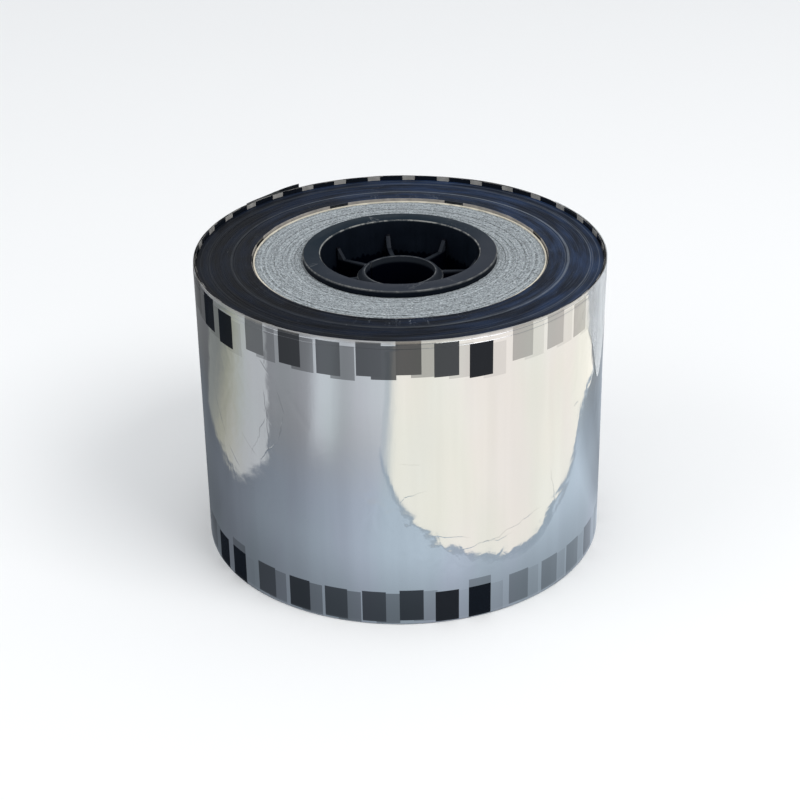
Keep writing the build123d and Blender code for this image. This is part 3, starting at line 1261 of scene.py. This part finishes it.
class ROLL_OT_core(bpy.types.Operator):
    """Build the board plies of the core and its cream cover"""

    bl_idname = "film_roll.core"
    bl_label = "Core"

    def execute(self, context):
        colours, segments = context.scene.roll_colours, context.scene.roll_sizes.end_segments
        board = sawn_board("grey_core_board", tuple(colours.board), 0.70)
        inner = LINER_R + GLUE
        for index, node in enumerate(PLIES):
            outer, low, high = ring_span(node)
            bm = self.ply(inner, outer, low, high, segments, index)
            name = f"board_ply_{index + 1:02d}"
            piece(name, bm, board, "roll", [node], sharp=60.0)
            inner = outer + GLUE
        outer, high = CORE_R + 0.12 * MM, CORE_HIGH + 0.35 * MM
        bm = self.ply(inner - 0.10 * MM, outer, CORE_LOW, high, segments, COVER_SEED)
        cover = cover_paper(tuple(colours.cover))
        piece("cover_ply", bm, cover, "roll", ["core_cover_ply"], sharp=60.0)
        return {"FINISHED"}

    def ply(self, inner, outer, low, high, segments, seed):
        """One ply: a tube whose cut ends are torn by a little and whose corners are rubbed."""
        rub = 0.06 * MM
        thirds = steps(inner + rub, outer - rub, 4)
        profile = [(inner, low + rub)] + [(r, low) for r in thirds] + [(outer, low + rub)]
        profile += [(outer, high - rub)] + [(r, high) for r in reversed(thirds)] + [(inner, high - rub)]
        bm = turned(profile, segments)

        def tear(angle, r, z):
            spot = on_wall(angle, 30, r * 900 + seed)
            rough = max(noise.noise(spot) + 0.5 * noise.noise(spot * 3.1), -0.4)
            torn = max(0.10 * MM * (0.4 + rough), 0.0)
            if z > high - 0.5 * rub:
                return r, z - torn
            return r, z + torn if z < low + 0.5 * rub else z

        shape(bm, tear)
        return bm


def nick(angle, radius, z):
    """Small burrs and nicks on the flange's outer edge, mostly at the front right."""
    if radius > FLANGE_R - 0.5 * MM:
        spot = on_wall(angle, 16, z * 300)
        worn = 0.06 + 0.5 * window(angle, -52, -34, 4)
        radius -= max(noise.noise(spot), 0.0) * worn * MM
    return radius, z


class ROLL_OT_plugs(bpy.types.Operator):
    """Build the two moulded plugs, with rounded edges, ribs and pale rims that are part rubbed wear and
    part painted highlight
    """

    bl_idname = "film_roll.plugs"
    bl_label = "Plugs"

    def execute(self, context):
        colours = context.scene.roll_colours
        plastic = moulded_plastic(tuple(colours.plug))
        for node, body in (("upper_core_plug", "upper_plug"), ("lower_core_plug", "lower_plug")):
            bm = bmesh.new()
            bm.from_mesh(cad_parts[node].data)
            bmesh.ops.remove_doubles(bm, verts=bm.verts, dist=0.003 * MM)
            bmesh.ops.dissolve_limit(bm, angle_limit=radians(1.0), verts=bm.verts, edges=bm.edges)
            corners = [e for e in bm.edges if e.is_manifold and e.calc_face_angle(0) > radians(28)]
            bmesh.ops.bevel(
                bm,
                geom=corners,
                offset=0.22 * MM,
                segments=2,
                profile=0.5,
                affect="EDGES",
                material=-1,
                clamp_overlap=True,
            )
            shape(bm, nick)
            piece(f"{body}_moulding", bm, plastic, body, [node], sharp=40.0)
        return {"FINISHED"}


class ROLL_OT_hidden_pieces(bpy.types.Operator):
    """Give the core's liner and the starting tape their finishes"""

    bl_idname = "film_roll.hidden_pieces"
    bl_label = "Liner and tape"

    def execute(self, context):
        repaint("core_inner_liner", liner_paper((0.36, 0.32, 0.27)))
        repaint("film_start_tape", start_tape())
        return {"FINISHED"}


class ROLL_OT_stage(bpy.types.Operator):
    """Build the floor, the lights and the camera"""

    bl_idname = "film_roll.stage"
    bl_label = "Stage"

    def execute(self, context):
        scene = context.scene
        self.floor(tuple(scene.roll_colours.floor))
        self.lights(scene)
        self.cards()
        self.camera(scene)
        scene.view_settings.view_transform = "Standard"
        return {"FINISHED"}

    def floor(self, colour):
        bm = bmesh.new()
        bmesh.ops.create_grid(bm, x_segments=2, y_segments=2, size=15.0)
        bmesh.ops.translate(bm, verts=bm.verts, vec=(0, 0, -0.1 * MM))
        placed("floor", bm, plain_floor(colour))

    def card(self, name, corners, height, pattern, soft, outline=None):
        """A flat reflector just over the floor, which only reflections see, with a soft margin."""
        bm = bmesh.new()
        inward = bm.verts.layers.float.new("inward")
        inner = [bm.verts.new((x * MM, y * MM, height)) for x, y in corners]
        outer = [bm.verts.new((x * MM, y * MM, height)) for x, y in outset(corners, soft)]
        for corner in inner:
            corner[inward] = 1.0
        bm.faces.new(inner)
        for index in range(len(inner)):
            bm.faces.new((inner[index - 1], outer[index - 1], outer[index], inner[index]))
        bmesh.ops.recalc_face_normals(bm, faces=bm.faces)
        if bm.faces[:][0].normal.z < 0:
            bmesh.ops.reverse_faces(bm, faces=bm.faces)
        obj = placed(name, bm, glowing_card(name, pattern, outline))
        obj.visible_camera = False
        obj.visible_diffuse = False
        obj.visible_shadow = False
        obj.visible_transmission = False

    def lights(self, scene):
        world = bpy.data.worlds.new("studio")
        world.use_nodes = True
        background = world.node_tree.nodes["Background"]
        background.inputs["Color"].default_value = (0.95, 0.975, 1.0, 1.0)
        background.inputs["Strength"].default_value = 0.78
        scene.world = world
        for name, place, size, power in (
            ("key_light", (0.9, -0.7, 1.5), 0.9, 15.0),
            ("fill_light", (-1.3, -0.5, 1.1), 1.2, 5.0),
        ):
            light = bpy.data.lights.new(name, "AREA")
            light.size = size
            light.energy = power
            lamp = bpy.data.objects.new(name, light)
            lamp.location = place
            aim = Vector((0, 0, 0.06)) - Vector(place)
            lamp.rotation_euler = aim.to_track_quat("-Z", "Y").to_euler()
            scene.collection.objects.link(lamp)

    def cards(self):
        """The room, a sunlit window and a paler stretch of floor, as outlines in mm round the roll."""
        everywhere = [(-3000, -3000), (3000, -3000), (3000, 3000), (-3000, 3000)]
        self.card("room_card", everywhere, 0.3 * MM, room_glow, 5.0)
        window_light = [
            (-36, -1500), (-36, -225), (-4, -190), (45, -140), (93, -87), (134, -55),
            (166, -12), (196, 20), (206, 50), (200, 95), (1500, 420), (1500, -1500),
        ]
        self.card("warm_card", window_light, 0.5 * MM, warm_glow, 9.0, (0.66, 0.76, 0.88))
        pale_floor = [
            (-179, -78), (-292, -108), (-700, -216), (-700, 330), (-225, 115),
            (-170, 84), (-170, 23), (-165, 3), (-160, -23), (-169, -48),
        ]
        self.card("side_card", pale_floor, 0.5 * MM, side_glow, 12.0)

    def camera(self, scene):
        distance, elevation = 0.8311, radians(27.66)
        centre = Vector((0, 0, 0.066))
        data = bpy.data.cameras.new("camera")
        data.lens = 84.4
        data.sensor_width = 36.0
        data.shift_x = -0.0023
        data.shift_y = -0.0165
        data.clip_start = 0.01
        eye = bpy.data.objects.new("camera", data)
        eye.location = centre + Vector((0, -cos(elevation), sin(elevation))) * distance
        lean = Matrix.Rotation(radians(-0.85), 4, "Z")
        look = (centre - eye.location).to_track_quat("-Z", "Y").to_matrix().to_4x4()
        eye.rotation_euler = (look @ lean).to_euler()
        scene.collection.objects.link(eye)
        scene.camera = eye


OPERATORS = (
    ROLL_OT_film_wall,
    ROLL_OT_film_rim,
    ROLL_OT_loose_wrap,
    ROLL_OT_winding,
    ROLL_OT_first_turns,
    ROLL_OT_film_end,
    ROLL_OT_core,
    ROLL_OT_plugs,
    ROLL_OT_hidden_pieces,
    ROLL_OT_stage,
)


class ROLL_PT_panel(bpy.types.Panel):
    """Lists the roll's sizes, colours and pieces"""

    bl_idname = "ROLL_PT_panel"
    bl_label = "Sealing film roll"
    bl_space_type = "VIEW_3D"
    bl_region_type = "UI"
    bl_category = "Film Roll"

    def draw(self, context):
        for settings in (context.scene.roll_sizes, context.scene.roll_colours):
            box = self.layout.box()
            for name in settings.__annotations__:
                box.prop(settings, name)
        for operator in OPERATORS:
            self.layout.operator(operator.bl_idname)


CLASSES = (RollSizes, RollColours) + OPERATORS + (ROLL_PT_panel,)


def register():
    for cls in CLASSES:
        bpy.utils.register_class(cls)
    bpy.types.Scene.roll_sizes = PointerProperty(type=RollSizes)
    bpy.types.Scene.roll_colours = PointerProperty(type=RollColours)


def unregister():
    del bpy.types.Scene.roll_colours
    del bpy.types.Scene.roll_sizes
    for cls in reversed(CLASSES):
        bpy.utils.unregister_class(cls)


def main():
    """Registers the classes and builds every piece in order."""
    register()
    for operator in OPERATORS:
        group, name = operator.bl_idname.split(".")
        getattr(getattr(bpy.ops, group), name)()


if __name__ == "__main__":
    main()
